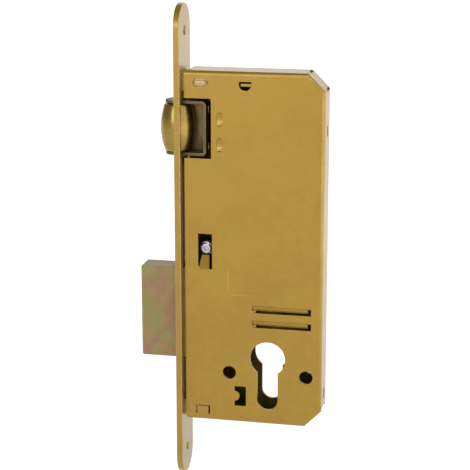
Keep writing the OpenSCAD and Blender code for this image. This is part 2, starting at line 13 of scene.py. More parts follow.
import bmesh
import bpy
from mathutils import Matrix, Vector
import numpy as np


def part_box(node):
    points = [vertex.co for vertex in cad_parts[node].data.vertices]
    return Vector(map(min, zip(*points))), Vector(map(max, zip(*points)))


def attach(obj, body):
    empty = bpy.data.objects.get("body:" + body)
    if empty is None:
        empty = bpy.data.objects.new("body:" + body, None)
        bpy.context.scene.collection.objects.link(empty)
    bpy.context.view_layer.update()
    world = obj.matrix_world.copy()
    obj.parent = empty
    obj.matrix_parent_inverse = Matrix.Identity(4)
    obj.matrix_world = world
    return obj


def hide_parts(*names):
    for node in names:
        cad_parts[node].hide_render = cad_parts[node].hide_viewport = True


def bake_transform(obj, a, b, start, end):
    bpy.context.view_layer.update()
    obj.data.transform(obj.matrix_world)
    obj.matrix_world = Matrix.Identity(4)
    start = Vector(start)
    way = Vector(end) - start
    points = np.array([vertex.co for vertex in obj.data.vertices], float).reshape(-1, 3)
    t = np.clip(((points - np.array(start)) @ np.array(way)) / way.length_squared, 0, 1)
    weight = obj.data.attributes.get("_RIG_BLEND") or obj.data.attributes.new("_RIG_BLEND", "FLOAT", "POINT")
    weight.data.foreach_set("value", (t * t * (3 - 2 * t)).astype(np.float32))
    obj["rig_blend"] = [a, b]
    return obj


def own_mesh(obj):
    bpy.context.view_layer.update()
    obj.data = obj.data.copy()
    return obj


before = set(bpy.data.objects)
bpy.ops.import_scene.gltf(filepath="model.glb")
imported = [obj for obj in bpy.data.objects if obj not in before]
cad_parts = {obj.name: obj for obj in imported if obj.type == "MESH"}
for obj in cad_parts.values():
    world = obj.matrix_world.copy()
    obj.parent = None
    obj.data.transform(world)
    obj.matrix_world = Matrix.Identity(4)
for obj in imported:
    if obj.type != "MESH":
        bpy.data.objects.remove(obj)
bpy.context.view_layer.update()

LOG = logging.getLogger("mortise_lock")
MM = 0.001
EDGE_BAND = "edge_band"
# Face mask of the faces inside the case, which get painted shade.
INSIDE = "inside"
Colour = tuple[float, float, float]


# ---------------------------------------------------------------- shader graph


class Graph:
    """Adds and links nodes in one shader tree."""

    def __init__(self, tree: bpy.types.NodeTree) -> None:
        """Keeps the tree that the nodes go in.

        Args:
            tree: a material's node tree or a node group.
        """
        self.tree = tree

    def add(self, kind: str, **settings: object) -> bpy.types.Node:
        """Adds one node.

        Args:
            kind: the node's type name.
            settings: properties to set on it.

        Returns:
            The new node.
        """
        node = self.tree.nodes.new(kind)
        for key, value in settings.items():
            setattr(node, key, value)
        return node

    def feed(self, socket: bpy.types.NodeSocket, value: object) -> None:
        """Links a socket, or sets its constant.

        Args:
            socket: the input socket.
            value: an output socket to link, or a constant.
        """
        if isinstance(value, bpy.types.NodeSocket):
            self.tree.links.new(value, socket)
        elif isinstance(value, tuple) and socket.type == "RGBA":
            socket.default_value = (*value[:3], 1.0)
        else:
            socket.default_value = value

    def maths(self, operation: str, a: object, b: object = 0.0, clamp: bool = False) -> bpy.types.NodeSocket:
        """Adds a Math node.

        Args:
            operation: the node's operation.
            a: first value or socket.
            b: second value or socket.
            clamp: whether the result is held from 0 to 1.

        Returns:
            The result's socket.
        """
        node = self.add("ShaderNodeMath", operation=operation, use_clamp=clamp)
        self.feed(node.inputs[0], a)
        self.feed(node.inputs[1], b)
        return node.outputs[0]

    def mix(self, factor: object, a: object, b: object, blend: str = "MIX") -> bpy.types.NodeSocket:
        """Mixes two colours.

        Args:
            factor: share of the second colour.
            a: first colour or socket.
            b: second colour or socket.
            blend: the node's blend type.

        Returns:
            The mixed colour's socket.
        """
        node = self.add("ShaderNodeMix", data_type="RGBA", blend_type=blend)
        self.feed(node.inputs["Factor"], factor)
        self.feed(node.inputs[6], a)
        self.feed(node.inputs[7], b)
        return node.outputs[2]

    def spread(self, value: object, low: float, high: float, to_low: float = 0.0,
               to_high: float = 1.0) -> bpy.types.NodeSocket:
        """Maps one range of values to another and clamps it.

        Args:
            value: the socket to map.
            low: input that gives to_low.
            high: input that gives to_high.
            to_low: result at low.
            to_high: result at high.

        Returns:
            The mapped value's socket.
        """
        node = self.add("ShaderNodeMapRange", interpolation_type="SMOOTHSTEP")
        self.feed(node.inputs["Value"], value)
        for name, number in (("From Min", low), ("From Max", high), ("To Min", to_low), ("To Max", to_high)):
            node.inputs[name].default_value = number
        return node.outputs["Result"]

    def ramp(self, value: object, stops: Sequence[tuple[float, Colour]]) -> bpy.types.NodeSocket:
        """Adds a colour ramp.

        Args:
            value: the socket that drives it.
            stops: places from 0 to 1 with their colours.

        Returns:
            The colour's socket.
        """
        node = self.add("ShaderNodeValToRGB")
        elements = node.color_ramp.elements
        while len(elements) < len(stops):
            elements.new(0.5)
        for element, (place, colour) in zip(elements, stops):
            element.position = place
            element.color = (*colour, 1.0)
        self.feed(node.inputs[0], value)
        return node.outputs[0]

    def noise(self, vector: object, scale: object, detail: float = 2.0, roughness: float = 0.5,
              distortion: float = 0.0) -> bpy.types.NodeSocket:
        """Adds a noise texture.

        Args:
            vector: the coordinates' socket.
            scale: cells in a metre, as a number or a socket.
            detail: number of finer layers.
            roughness: weight of the finer layers.
            distortion: how far the pattern is pushed about.

        Returns:
            The noise's value from 0 to 1.
        """
        node = self.add("ShaderNodeTexNoise")
        self.feed(node.inputs["Vector"], vector)
        self.feed(node.inputs["Scale"], scale)
        node.inputs["Detail"].default_value = detail
        node.inputs["Roughness"].default_value = roughness
        node.inputs["Distortion"].default_value = distortion
        return node.outputs["Fac"]


class Kind(Enum):
    """Socket types of a node group's interface."""

    VALUE = "NodeSocketFloat"
    COLOUR = "NodeSocketColor"
    VECTOR = "NodeSocketVector"


@dataclass
class Effect:
    """One effect that several finishes share, as a shader node group built once."""

    name: str
    inputs: dict[str, tuple[Kind, object]]
    outputs: dict[str, Kind]

    def tree(self) -> bpy.types.NodeTree:
        """Gives the group, and builds it the first time.

        Returns:
            The node group.
        """
        known = bpy.data.node_groups.get(self.name)
        if known is not None:
            return known
        made = bpy.data.node_groups.new(self.name, "ShaderNodeTree")
        for name, (kind, value) in self.inputs.items():
            socket = made.interface.new_socket(name=name, in_out="INPUT", socket_type=kind.value)
            if kind is Kind.VALUE:
                socket.default_value = value
        for name, kind in self.outputs.items():
            made.interface.new_socket(name=name, in_out="OUTPUT", socket_type=kind.value)
        graph = Graph(made)
        start, end = graph.add("NodeGroupInput"), graph.add("NodeGroupOutput")
        for name, value in self.wire(graph, start.outputs).items():
            graph.feed(end.inputs[name], value)
        return made

    def wire(self, graph: Graph, given: bpy.types.NodeOutputs) -> dict[str, object]:
        """Builds the inside of the group; each effect has its own."""
        raise NotImplementedError

    def place(self, graph: Graph, **values: object) -> bpy.types.NodeOutputs:
        """Places the group in a material.

        Args:
            graph: the material's graph.
            values: sockets or numbers for the group's inputs.

        Returns:
            The placed group's outputs.
        """
        node = graph.add("ShaderNodeGroup", node_tree=self.tree())
        for name, value in values.items():
            graph.feed(node.inputs[name.replace("_", " ")], value)
        return node.outputs


class Mottle(Effect):
    """Cloudy patches and fine specks of a thin coating."""

    def __init__(self) -> None:
        """Names the group's sockets."""
        super().__init__("Coating mottle", {"Vector": (Kind.VECTOR, None), "Patch": (Kind.VALUE, 90.0),
                                            "Speck": (Kind.VALUE, 1500.0)},
                         {"Cloud": Kind.VALUE, "Specks": Kind.VALUE, "Height": Kind.VALUE})

    def wire(self, graph: Graph, given: bpy.types.NodeOutputs) -> dict[str, object]:
        """Mixes a large, a middle and a fine noise."""
        large = graph.noise(given["Vector"], given["Patch"], 3.0, 0.55, 0.4)
        middle = graph.noise(given["Vector"], graph.maths("MULTIPLY", given["Patch"], 6.3), 2.0, 0.6)
        fine = graph.noise(given["Vector"], given["Speck"], 2.0, 0.65)
        share = graph.maths("MULTIPLY", large, 0.68)
        cloud = graph.maths("ADD", share, graph.maths("MULTIPLY", middle, 0.32))
        return {
            "Cloud": graph.spread(cloud, 0.34, 0.66),
            "Specks": graph.spread(fine, 0.52, 0.72),
            "Height": graph.maths("ADD", fine, graph.maths("MULTIPLY", middle, 1.6)),
        }


class RolledLines(Effect):
    """Fine parallel lines left by rolling, grinding or turning, along local X."""

    def __init__(self) -> None:
        """Names the group's sockets."""
        super().__init__("Rolled lines", {"Vector": (Kind.VECTOR, None), "Across": (Kind.VALUE, 2600.0),
                                          "Along": (Kind.VALUE, 60.0)},
                         {"Lines": Kind.VALUE, "Bands": Kind.VALUE})

    def wire(self, graph: Graph, given: bpy.types.NodeOutputs) -> dict[str, object]:
        """Stretches two noises along X."""
        split = graph.add("ShaderNodeSeparateXYZ")
        graph.feed(split.inputs[0], given["Vector"])
        joined = graph.add("ShaderNodeCombineXYZ")
        graph.feed(joined.inputs[0], graph.maths("MULTIPLY", split.outputs[0], given["Along"]))
        graph.feed(joined.inputs[1], graph.maths("MULTIPLY", split.outputs[1], given["Across"]))
        graph.feed(joined.inputs[2], graph.maths("MULTIPLY", split.outputs[2], given["Across"]))
        lines = graph.noise(joined.outputs[0], 1.0, 3.0, 0.6)
        bands = graph.noise(joined.outputs[0], 0.16, 2.0, 0.5)
        return {"Lines": graph.spread(lines, 0.3, 0.7), "Bands": graph.spread(bands, 0.35, 0.65)}


class EdgeWear(Effect):
    """Mask along the edges' narrow bands, broken up by noise."""

    def __init__(self) -> None:
        """Names the group's sockets."""
        super().__init__("Edge wear", {"Vector": (Kind.VECTOR, None), "Amount": (Kind.VALUE, 0.5),
                                       "Scale": (Kind.VALUE, 420.0)}, {"Mask": Kind.VALUE})

    def wire(self, graph: Graph, given: bpy.types.NodeOutputs) -> dict[str, object]:
        """Multiplies the edge attribute by a broken noise."""
        band = graph.add("ShaderNodeAttribute", attribute_type="GEOMETRY", attribute_name=EDGE_BAND)
        rough = graph.noise(given["Vector"], given["Scale"], 4.0, 0.62)
        more = graph.maths("MULTIPLY", given["Amount"], 0.3)
        broken = graph.spread(graph.maths("ADD", rough, more), 0.5, 0.78)
        return {"Mask": graph.maths("MULTIPLY", band.outputs["Fac"], broken, clamp=True)}


class PaintedInsideShade(Effect):
    """Mask of painted shade: faces that look into the closed case are painted dark to stand in for the shade
    inside it.
    """

    def __init__(self) -> None:
        """Names the group's sockets."""
        super().__init__("Painted inside shade", {"Vector": (Kind.VECTOR, None), "Amount": (Kind.VALUE, 0.9)},
                         {"Mask": Kind.VALUE})

    def wire(self, graph: Graph, given: bpy.types.NodeOutputs) -> dict[str, object]:
        """Multiplies the inside attribute by a slow, faint noise, which sets where and how strongly the shade
        is painted.
        """
        face = graph.add("ShaderNodeAttribute", attribute_type="GEOMETRY", attribute_name=INSIDE)
        cloud = graph.spread(graph.noise(given["Vector"], 120.0, 3.0, 0.6), 0.2, 0.8, 0.85, 1.0)
        mask = graph.maths("MULTIPLY", face.outputs["Fac"], cloud)
        return {"Mask": graph.maths("MULTIPLY", mask, given["Amount"], clamp=True)}


class SettledDust(Effect):
    """Faint dust that lies on faces that look up."""

    def __init__(self) -> None:
        """Names the group's sockets."""
        super().__init__("Settled dust", {"Vector": (Kind.VECTOR, None), "Amount": (Kind.VALUE, 0.2)},
                         {"Mask": Kind.VALUE})

    def wire(self, graph: Graph, given: bpy.types.NodeOutputs) -> dict[str, object]:
        """Weighs a noise by how far the face looks up."""
        shape = graph.add("ShaderNodeNewGeometry")
        split = graph.add("ShaderNodeSeparateXYZ")
        graph.feed(split.inputs[0], shape.outputs["Normal"])
        upward = graph.spread(split.outputs[2], 0.1, 1.0, 0.12, 1.0)
        patchy = graph.spread(graph.noise(given["Vector"], 260.0, 4.0, 0.6), 0.35, 0.75)
        mask = graph.maths("MULTIPLY", upward, patchy)
        return {"Mask": graph.maths("MULTIPLY", mask, given["Amount"], clamp=True)}


class RainbowFilm(Effect):
    """Colours of a yellow chromate film: straw, green, rose and violet in drifting patches."""

    def __init__(self) -> None:
        """Names the group's sockets."""
        super().__init__("Rainbow film", {"Vector": (Kind.VECTOR, None), "Patch": (Kind.VALUE, 70.0)},
                         {"Colour": Kind.COLOUR, "Depth": Kind.VALUE})

    def wire(self, graph: Graph, given: bpy.types.NodeOutputs) -> dict[str, object]:
        """Runs a bent noise through the film's colours."""
        slow = graph.noise(given["Vector"], given["Patch"], 1.5, 0.5, 0.7)
        quick = graph.noise(given["Vector"], graph.maths("MULTIPLY", given["Patch"], 3.5), 3.0, 0.6, 0.4)
        both = graph.maths("ADD", graph.maths("MULTIPLY", slow, 0.84), graph.maths("MULTIPLY", quick, 0.16))
        place = graph.spread(both, 0.24, 0.76)
        colour = graph.ramp(place, (
            (0.00, (0.300, 0.250, 0.100)), (0.22, (0.290, 0.300, 0.100)), (0.38, (0.350, 0.265, 0.115)),
            (0.50, (0.370, 0.235, 0.125)), (0.62, (0.370, 0.190, 0.130)), (0.76, (0.300, 0.220, 0.115)),
            (0.90, (0.290, 0.290, 0.100)), (1.00, (0.370, 0.280, 0.130))))
        return {"Colour": colour, "Depth": place}


MOTTLE = Mottle()
LINES = RolledLines()
WEAR = EdgeWear()
# Painted shade on the faces inside the case.
INSIDE_SHADE = PaintedInsideShade()
DUST = SettledDust()
FILM = RainbowFilm()


# -------------------------------------------------------------------- finishes


class Grain(Enum):
    """Way that a finish's fine lines run, as a turn; ALONG_X is a hair off NONE, to be its own member."""

    NONE = (0.0, 0.0, 0.0)
    ALONG_X = (0.0, 0.0, 0.0001)
    ALONG_Z = (0.0, math.pi / 2, 0.0)


@dataclass(frozen=True)
class Finish:
    """One metal finish: the constants of its shader and the strengths of the shared effects."""

    name: str
    base: Colour
    deep: Colour
    worn: Colour
    metallic: float = 0.8
    roughness: float = 0.35
    rough_swing: float = 0.1
    coat: float = 0.0
    coat_rough: float = 0.25
    patch: float = 90.0
    speck: float = 1500.0
    speck_share: float = 0.12
    lines: float = 0.0
    across: float = 2600.0
    grain: Grain = Grain.NONE
    wear: float = 0.5
    wear_share: float = 0.7
    dust: float = 0.15
    dust_colour: Colour = (0.50, 0.47, 0.40)
    bump: float = 0.2
    bump_depth: float = 0.00003
    film: float = 0.0
    film_patch: float = 70.0
    # The next two fields paint shade on the faces inside the case: its strength, and the near-black colour
    # that stands in for the shade there.
    inside_shade: float = 0.0
    inside_shade_colour: Colour = (0.024, 0.016, 0.006)
    specular: float = 0.5

    def material(self) -> bpy.types.Material:
        """Gives the finish's material, built the first time.

        Returns:
            The material.
        """
        known = bpy.data.materials.get(self.name)
        if known is not None:
            return known
        made = bpy.data.materials.new(self.name)
        made.use_nodes = True
        graph = Graph(made.node_tree)
        shader = made.node_tree.nodes["Principled BSDF"]
        place = graph.add("ShaderNodeTexCoord").outputs["Object"]
        mottle = MOTTLE.place(graph, Vector=place, Patch=self.patch, Speck=self.speck)
        colour = graph.mix(mottle["Cloud"], self.deep, self.base)
        colour = graph.mix(graph.maths("MULTIPLY", mottle["Specks"], self.speck_share), colour, self.worn)
        rough = graph.spread(mottle["Cloud"], 0.0, 1.0, self.roughness + self.rough_swing,
                             self.roughness - self.rough_swing)
        height = mottle["Height"]
        if self.film:
            film = FILM.place(graph, Vector=place, Patch=self.film_patch)
            colour = graph.mix(self.film, colour, film["Colour"])
            rough = graph.maths("ADD", rough, graph.maths("MULTIPLY", film["Depth"], 0.1))
        if self.grain is not Grain.NONE:
            turn = graph.add("ShaderNodeMapping")
            turn.inputs["Rotation"].default_value = self.grain.value
            graph.feed(turn.inputs["Vector"], place)
            lines = LINES.place(graph, Vector=turn.outputs[0], Across=self.across)
            shade = graph.maths("MULTIPLY", lines["Lines"], self.lines)
            colour = graph.mix(shade, colour, self.deep)
            rough = graph.maths("ADD", rough, graph.maths("MULTIPLY", lines["Bands"], 0.3 * self.lines))
            height = graph.maths("ADD", height, graph.maths("MULTIPLY", lines["Lines"], 1.4))
        dust = DUST.place(graph, Vector=place, Amount=self.dust)["Mask"]
        colour = graph.mix(dust, colour, self.dust_colour)
        rough = graph.maths("ADD", rough, graph.maths("MULTIPLY", dust, 0.35))
        wear = WEAR.place(graph, Vector=place, Amount=self.wear)["Mask"]
        worn = graph.maths("MULTIPLY", wear, self.wear_share)
        colour = graph.mix(worn, colour, self.worn)
        rough = graph.maths("SUBTRACT", rough, graph.maths("MULTIPLY", worn, 0.08), clamp=True)
        # Painted shade: faces inside the case are darkened towards a near-black colour, made rougher and lose
        # their coat, to stand in for the shade there.
        if self.inside_shade:
            painted_shade = INSIDE_SHADE.place(graph, Vector=place, Amount=self.inside_shade)["Mask"]
            colour = graph.mix(painted_shade, colour, self.inside_shade_colour)
            rough = graph.maths("ADD", rough, graph.maths("MULTIPLY", painted_shade, 0.25), clamp=True)
            unshaded_share = graph.maths("SUBTRACT", 1.0, painted_shade, clamp=True)
            graph.feed(shader.inputs["Coat Weight"], graph.maths("MULTIPLY", unshaded_share, self.coat))
        else:
            shader.inputs["Coat Weight"].default_value = self.coat
        bump = graph.add("ShaderNodeBump")
        bump.inputs["Strength"].default_value = self.bump
        bump.inputs["Distance"].default_value = self.bump_depth
        graph.feed(bump.inputs["Height"], height)
        graph.feed(shader.inputs["Base Color"], colour)
        graph.feed(shader.inputs["Roughness"], rough)
        graph.feed(shader.inputs["Normal"], bump.outputs["Normal"])
        shader.inputs["Metallic"].default_value = self.metallic
        shader.inputs["Specular IOR Level"].default_value = self.specular
        shader.inputs["Coat Roughness"].default_value = self.coat_rough
        return made


# The sheet paints shade on its faces inside the case.
SHEET = Finish(
    name="Gold lacquer on sheet", base=(0.462, 0.272, 0.016), deep=(0.406, 0.235, 0.011),
    worn=(0.62, 0.42, 0.10),
    metallic=0.55, roughness=0.34, rough_swing=0.05, coat=0.75, coat_rough=0.22, patch=38.0, speck=2300.0,
    speck_share=0.10, wear=0.55, wear_share=0.5, dust=0.05, bump=0.22, bump_depth=0.00003, inside_shade=0.87)
PLATE = Finish(
    name="Gold lacquer on strip", base=(0.430, 0.262, 0.030), deep=(0.385, 0.228, 0.020),
    worn=(0.62, 0.46, 0.16),
    metallic=0.5, roughness=0.34, rough_swing=0.05, coat=0.8, coat_rough=0.22, patch=45.0, speck=2100.0,
    speck_share=0.12, lines=0.12, grain=Grain.ALONG_Z, wear=0.6, wear_share=0.6, dust=0.04)
BRACKET = Finish(
    name="Passivated bracket steel", base=(0.72, 0.54, 0.22), deep=(0.56, 0.40, 0.15),
    worn=(0.86, 0.74, 0.44),
    metallic=0.45, roughness=0.34, patch=120.0, lines=0.2, grain=Grain.ALONG_Z, film=0.25, dust=0.05)
ZINC = Finish(
    name="Bright zinc plate", base=(0.66, 0.67, 0.68), deep=(0.52, 0.53, 0.55), worn=(0.78, 0.78, 0.78),
    metallic=0.95, roughness=0.24, rough_swing=0.06, patch=260.0, speck=3200.0, dust=0.05, bump=0.15)
# The latch strip paints shade on its faces inside the case.
STRIP = Finish(
    name="Passivated latch strip", base=(0.165, 0.125, 0.050), deep=(0.105, 0.076, 0.028),
    worn=(0.34, 0.32, 0.18),
    metallic=0.85, roughness=0.34, patch=110.0, lines=0.2, grain=Grain.ALONG_Z, film=0.2, film_patch=90.0,
    dust=0.04, wear=0.7, wear_share=0.4, inside_shade=0.85)
BRASS = Finish(
    name="Burnished brass", base=(0.430, 0.300, 0.085), deep=(0.360, 0.240, 0.060), worn=(0.70, 0.56, 0.26),
    metallic=1.0, roughness=0.29, rough_swing=0.03, patch=110.0, speck=2600.0, speck_share=0.0, lines=0.06,
    across=3400.0, grain=Grain.ALONG_X, wear=0.5, dust=0.0, bump=0.04)
WIRE = Finish(
    name="Drawn spring wire", base=(0.22, 0.20, 0.15), deep=(0.14, 0.12, 0.09), worn=(0.50, 0.48, 0.42),
    metallic=0.95, roughness=0.30, patch=320.0, dust=0.03)
CHROMATE = Finish(
    name="Yellow chromate on zinc", base=(0.405, 0.285, 0.130), deep=(0.340, 0.232, 0.100),
    worn=(0.50, 0.44, 0.32),
    metallic=0.55, roughness=0.36, rough_swing=0.05, patch=60.0, speck=1900.0, speck_share=0.08, lines=0.08,
    grain=Grain.ALONG_Z, film=0.64, film_patch=58.0, wear=0.45, wear_share=0.5, dust=0.0, specular=0.2)
TAIL = Finish(
    name="Pressed steel plate", base=(0.42, 0.39, 0.31), deep=(0.31, 0.28, 0.21), worn=(0.60, 0.58, 0.52),
    metallic=0.9, roughness=0.35, patch=120.0, lines=0.2, grain=Grain.ALONG_X, dust=0.03)
BLACKENED = Finish(
    name="Blackened steel", base=(0.060, 0.048, 0.036), deep=(0.030, 0.023, 0.016), worn=(0.26, 0.24, 0.21),
    metallic=0.8, roughness=0.42, patch=180.0, speck_share=0.06, wear=0.2, wear_share=0.1, dust=0.0)


# ------------------------------------------------------------------ mesh tools


def link_object(name: str, work: bmesh.types.BMesh, smooth_angle: float = 32.0) -> bpy.types.Object:
    """Makes a scene object from a bmesh and frees it.

    Args:
        name: the piece's name.
        work: the finished mesh.
        smooth_angle: edges sharper than this stay sharp, in degrees.

    Returns:
        The new object, at the origin.
    """
    mesh = bpy.data.meshes.new(name)
    work.to_mesh(mesh)
    work.free()
    mesh.shade_smooth()
    mesh.set_sharp_from_angle(angle=math.radians(smooth_angle))
    made = bpy.data.objects.new(name, mesh)
    bpy.context.scene.collection.objects.link(made)
    weighted = made.modifiers.new("flat_faces", "WEIGHTED_NORMAL")
    weighted.mode = "FACE_AREA"
    weighted.weight = 80
    weighted.keep_sharp = True
    return made


def add_band_layer(work: bmesh.types.BMesh) -> None:
    """Adds the faces' masks. It comes before any face is held, because it moves the faces in memory."""
    for name in (EDGE_BAND, INSIDE):
        if work.faces.layers.float.get(name) is None:
            work.faces.layers.float.new(name)


def within(point: Vector, box: tuple[Vector, Vector]) -> bool:
    """Tells whether a point lies in a box.

    Args:
        point: the point.
        box: the box's lowest and highest corners.

    Returns:
        True if it does.
    """
    return all(a <= b <= c for a, b, c in zip(box[0], point, box[1]))


def mark_inside(work: bmesh.types.BMesh, low: Vector, high: Vector) -> None:
    """Marks the faces within a hollow that look towards its middle, where the finishes paint shade.

    Args:
        work: the mesh, with its masks added.
        low: the hollow's lowest corner.
        high: its highest corner.
    """
    layer = work.faces.layers.float[INSIDE]
    middle = (low + high) / 2
    for face in work.faces:
        at = face.calc_center_median()
        face[layer] = 1.0 if within(at, (low, high)) and (middle - at).dot(face.normal) > 0 else 0.0


def mark_bands(work: bmesh.types.BMesh, faces: Iterable[bmesh.types.BMFace]) -> None:
    """Writes 1 on the given faces and 0 on the rest, for the edge wear.

    Args:
        work: the mesh.
        faces: the narrow faces along its edges.
    """
    layer = work.faces.layers.float[EDGE_BAND]
    for face in work.faces:
        face[layer] = 0.0
    for face in faces:
        face[layer] = 1.0


def ease_edges(work: bmesh.types.BMesh, width: float, segments: int = 2, angle: float = 32.0,
               spared: Optional[tuple[Vector, Vector]] = None) -> None:
    """Rounds a mesh's sharp edges and marks the new bands.

    Args:
        work: the mesh, already merged.
        width: how far the rounding reaches from each edge.
        segments: number of steps round it.
        angle: edges sharper than this are rounded, in degrees.
        spared: a box whose edges are left sharp.
    """
    add_band_layer(work)
    limit = math.radians(angle)
    sharp = [edge for edge in work.edges
             if len(edge.link_faces) == 2 and edge.calc_face_angle(0.0) > limit
             and not (spared is not None and all(within(vert.co, spared) for vert in edge.verts))]
    made = bmesh.ops.bevel(work, geom=sharp, offset=width, offset_type="OFFSET", segments=segments,
                           profile=0.5, affect="EDGES", clamp_overlap=False, material=-1,
                           loop_slide=True)
    mark_bands(work, made["faces"])


def cad_mesh(node: str) -> bmesh.types.BMesh:
    """Copies a CAD node's mesh, merged into closed shells with clean flat faces.

    Args:
        node: the CAD node's name.

    Returns:
        The copy.
    """
    work = bmesh.new()
    work.from_mesh(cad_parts[node].data)
    bmesh.ops.remove_doubles(work, verts=work.verts, dist=0.003 * MM)
    bmesh.ops.dissolve_degenerate(work, dist=0.004 * MM, edges=work.edges)
    bmesh.ops.dissolve_limit(work, angle_limit=math.radians(0.5), use_dissolve_boundaries=False,
                             verts=work.verts, edges=work.edges, delimit={"NORMAL"})
    return work


def spin_profile(outline: Sequence[tuple[float, float]], centre: Vector, axis: Vector, across: Vector,
                 steps: int) -> bmesh.types.BMesh:
    """Spins an outline into a closed ring or solid.

    Args:
        outline: (radius, height) pairs, in order.
        centre: a point on the axis.
        axis: the axis's direction.
        across: the direction that the radii start in.
        steps: number of steps round.

    Returns:
        The spun mesh.
    """
    work = bmesh.new()
    rim = [work.verts.new(centre + across * r + axis * h) for r, h in outline]
    edges = [work.edges.new((a, b)) for a, b in zip(rim, rim[1:] + rim[:1])]
    bmesh.ops.spin(work, geom=rim + edges, cent=centre, axis=axis, dvec=(0, 0, 0), angle=2 * math.pi,
                   steps=steps, use_merge=True, use_duplicate=False)
    bmesh.ops.remove_doubles(work, verts=work.verts, dist=0.001 * MM)
    bmesh.ops.recalc_face_normals(work, faces=work.faces)
    return work


@dataclass
class Piece:
    """How one CAD node is shown: its finish, body and the easing of its edges. The slot it holds is not used.
    """

    node: str
    finish: Finish
    body: str
    slot: str
    ease: float = 0.12
    segments: int = 2
    name: str = ""
    # hollow: box whose inward-looking faces get painted shade.
    hollow: Optional[tuple[Vector, Vector]] = None
    spared: Optional[tuple[Vector, Vector]] = None
    bends: Optional[tuple[str, Vector, Vector]] = None

    def dress(self, shape: Optional[bpy.types.Object] = None) -> bpy.types.Object:
        """Builds the shown piece from the CAD node, or takes a ready shape, and sets it riding.

        Args:
            shape: a finished object that stands for the node instead of a copy.

        Returns:
            The shown piece.
        """
        if shape is None:
            work = cad_mesh(self.node)
            if self.ease > 0:
                ease_edges(work, self.ease * MM, self.segments, spared=self.spared)
            if self.hollow is not None:
                mark_inside(work, *self.hollow)
            shape = link_object(self.name or f"dressed_{self.node}", work)
        shape.data.materials.clear()
        shape.data.materials.append(self.finish.material())
        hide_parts(self.node)
        if self.bends is None:
            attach(shape, self.body)
        else:
            other, start, end = self.bends
            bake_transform(shape, self.body, other, start, end)
        LOG.info("%s: %d faces on %s", shape.name, len(shape.data.polygons), self.body)
        return shape


# -------------------------------------------------------------- sub-assemblies


@dataclass
class CaseShell:
    """Tray, cover, faceplate and what ties them together."""

    sheet_ease: float = 0.16
    plate_ease: float = 0.35
    block_ease: float = 0.2
    hardware_ease: float = 0.14
    sheet_t: float = 1.25 * MM
    slack: float = 0.04 * MM
    hardware: tuple[str, ...] = ("faceplate_screws", "spacer_posts", "cover_screws", "side_screw",
                                 "bracket_rivets", "guide_studs", "tumbler_pivot", "spring_post")
    dark_hardware: tuple[str, ...] = ("middle_post", "side_washer")
    pip_low: tuple[float, float, float] = (-0.0256, -0.0074, 0.1010)
    pip_high: tuple[float, float, float] = (-0.0216, -0.0063, 0.1212)

    def hollow(self) -> tuple[Vector, Vector]:
        """Gives the case's inside, from its walls' outer faces.

        Returns:
            The inside's lowest and highest corners.
        """
        low, high = (Vector(corner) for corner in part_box("case_tray"))
        wall = self.sheet_t - self.slack
        return low + Vector((-wall, wall, wall)), Vector((high.x - wall, high.y + self.slack, high.z - wall))

    def build(self) -> list[bpy.types.Object]:
        """Dresses every fixed piece of the case.

        Returns:
            The shown pieces.
        """
        body = "lock_case"
        hollow = self.hollow()
        pips = (Vector(self.pip_low), Vector(self.pip_high))
        made = [
            # Faces inside the hollow are marked, and get painted shade.
            Piece("case_tray", SHEET, body, "lacquered_sheet", self.sheet_ease, hollow=hollow,
                  spared=pips).dress(),
            Piece("cover_plate", SHEET, body, "lacquered_sheet", self.sheet_ease, hollow=hollow).dress(),
            Piece("faceplate", PLATE, body, "lacquered_faceplate", self.plate_ease, 3).dress(),
            Piece("upper_bracket", BRACKET, body, "bracket_steel", self.block_ease).dress(),
            Piece("lower_bracket", BRACKET, body, "bracket_steel", self.block_ease).dress(),
            Piece("spring_bracket", STRIP, body, "latch_steel", self.sheet_ease, hollow=hollow).dress(),
        ]
        made += [Piece(node, ZINC, body, "zinc_hardware", self.hardware_ease).dress()
                 for node in self.hardware]
        made += [Piece(node, BLACKENED, body, "blackened_steel", self.hardware_ease).dress()
                 for node in self.dark_hardware]
        return made


